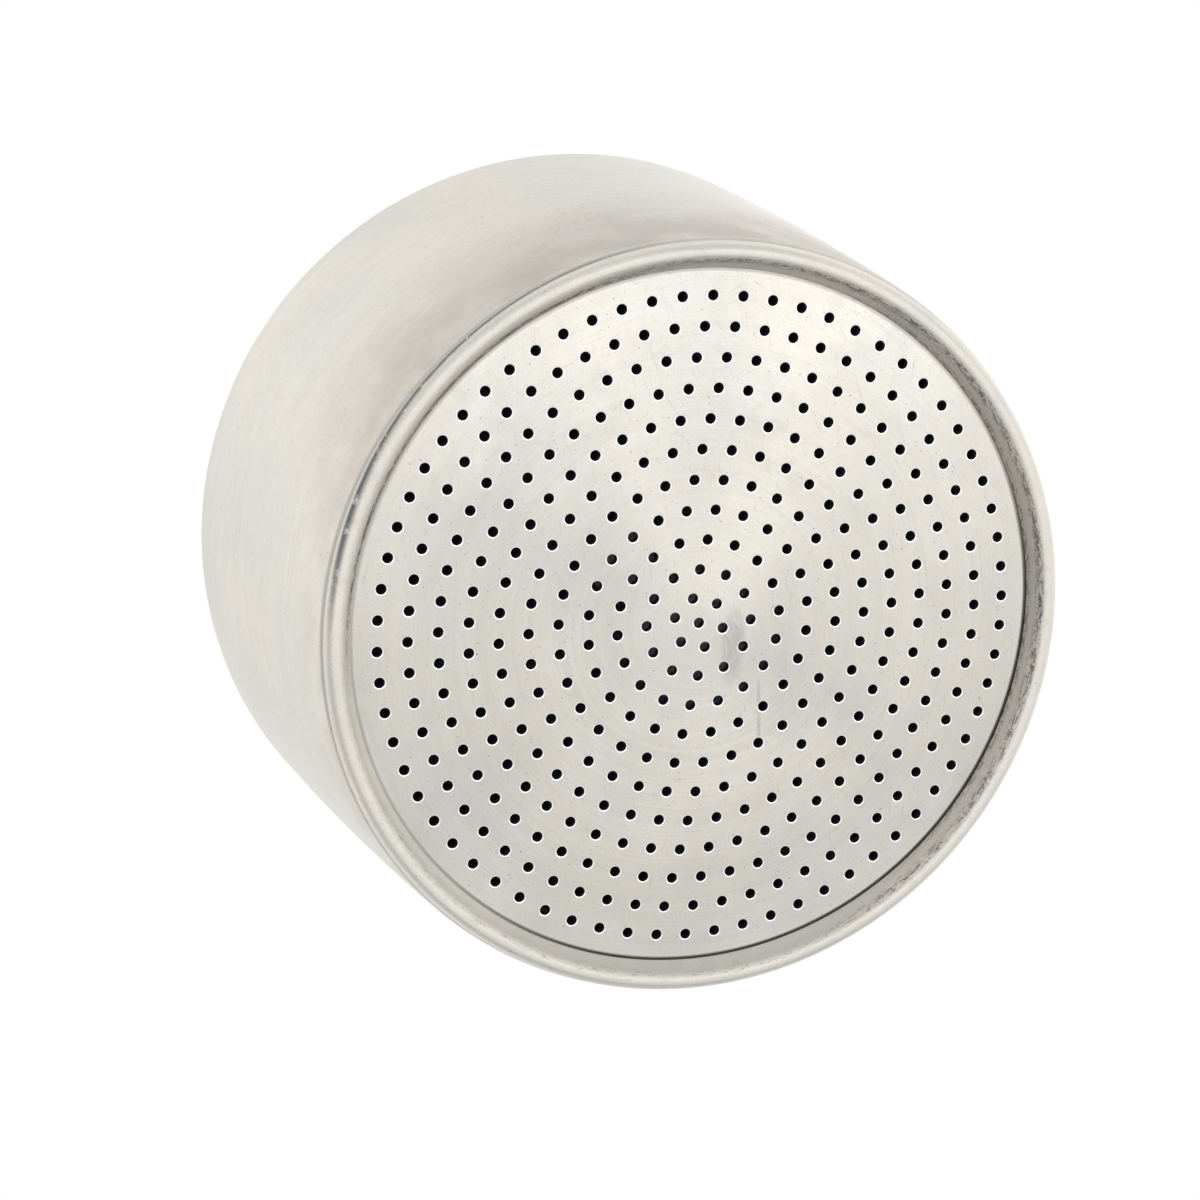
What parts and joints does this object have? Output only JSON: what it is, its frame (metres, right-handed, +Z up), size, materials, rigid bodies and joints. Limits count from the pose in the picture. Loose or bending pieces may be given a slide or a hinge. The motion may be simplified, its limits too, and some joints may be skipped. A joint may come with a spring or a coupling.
{
  "type": "cheese mold",
  "caption": "Tapered round aluminium cheese mold with a finely perforated drain plate in its rolled foot and a loose follower that presses the curd.",
  "frame": {"origin": "on the mold's axis, in the plane of the foot ring on which it stands", "axes": "+Z up along the mold's axis, from the perforated drain plate to the open mouth; +X through the first drain hole of every odd ring"},
  "size_m": [0.138, 0.138, 0.0812],
  "materials": {
    "wall_aluminium": "satin, spun, aged, with fine marks round the wall",
    "plate_aluminium": "satin, turned, with fine concentric marks, smudges and scratches",
    "follower_aluminium": "satin, spun, darkened by whey on its underside",
    "knob_aluminium": "turned, satin, worn on the top edge",
    "screw_steel": "turned stainless, dull"
  },
  "bodies": {
    "mold": {"mold_wall": "wall_aluminium", "drain_plate": "plate_aluminium"},
    "follower": {"follower_disc": "follower_aluminium", "spreader_washer": "follower_aluminium", "follower_knob": "knob_aluminium", "knob_screw": "screw_steel"}
  },
  "joints": [
    {"name": "follower_lift", "type": "slide", "parent": "mold", "child": "follower", "axis": [0, 0, 1], "range_m": [0, 0.1]}
  ]
}
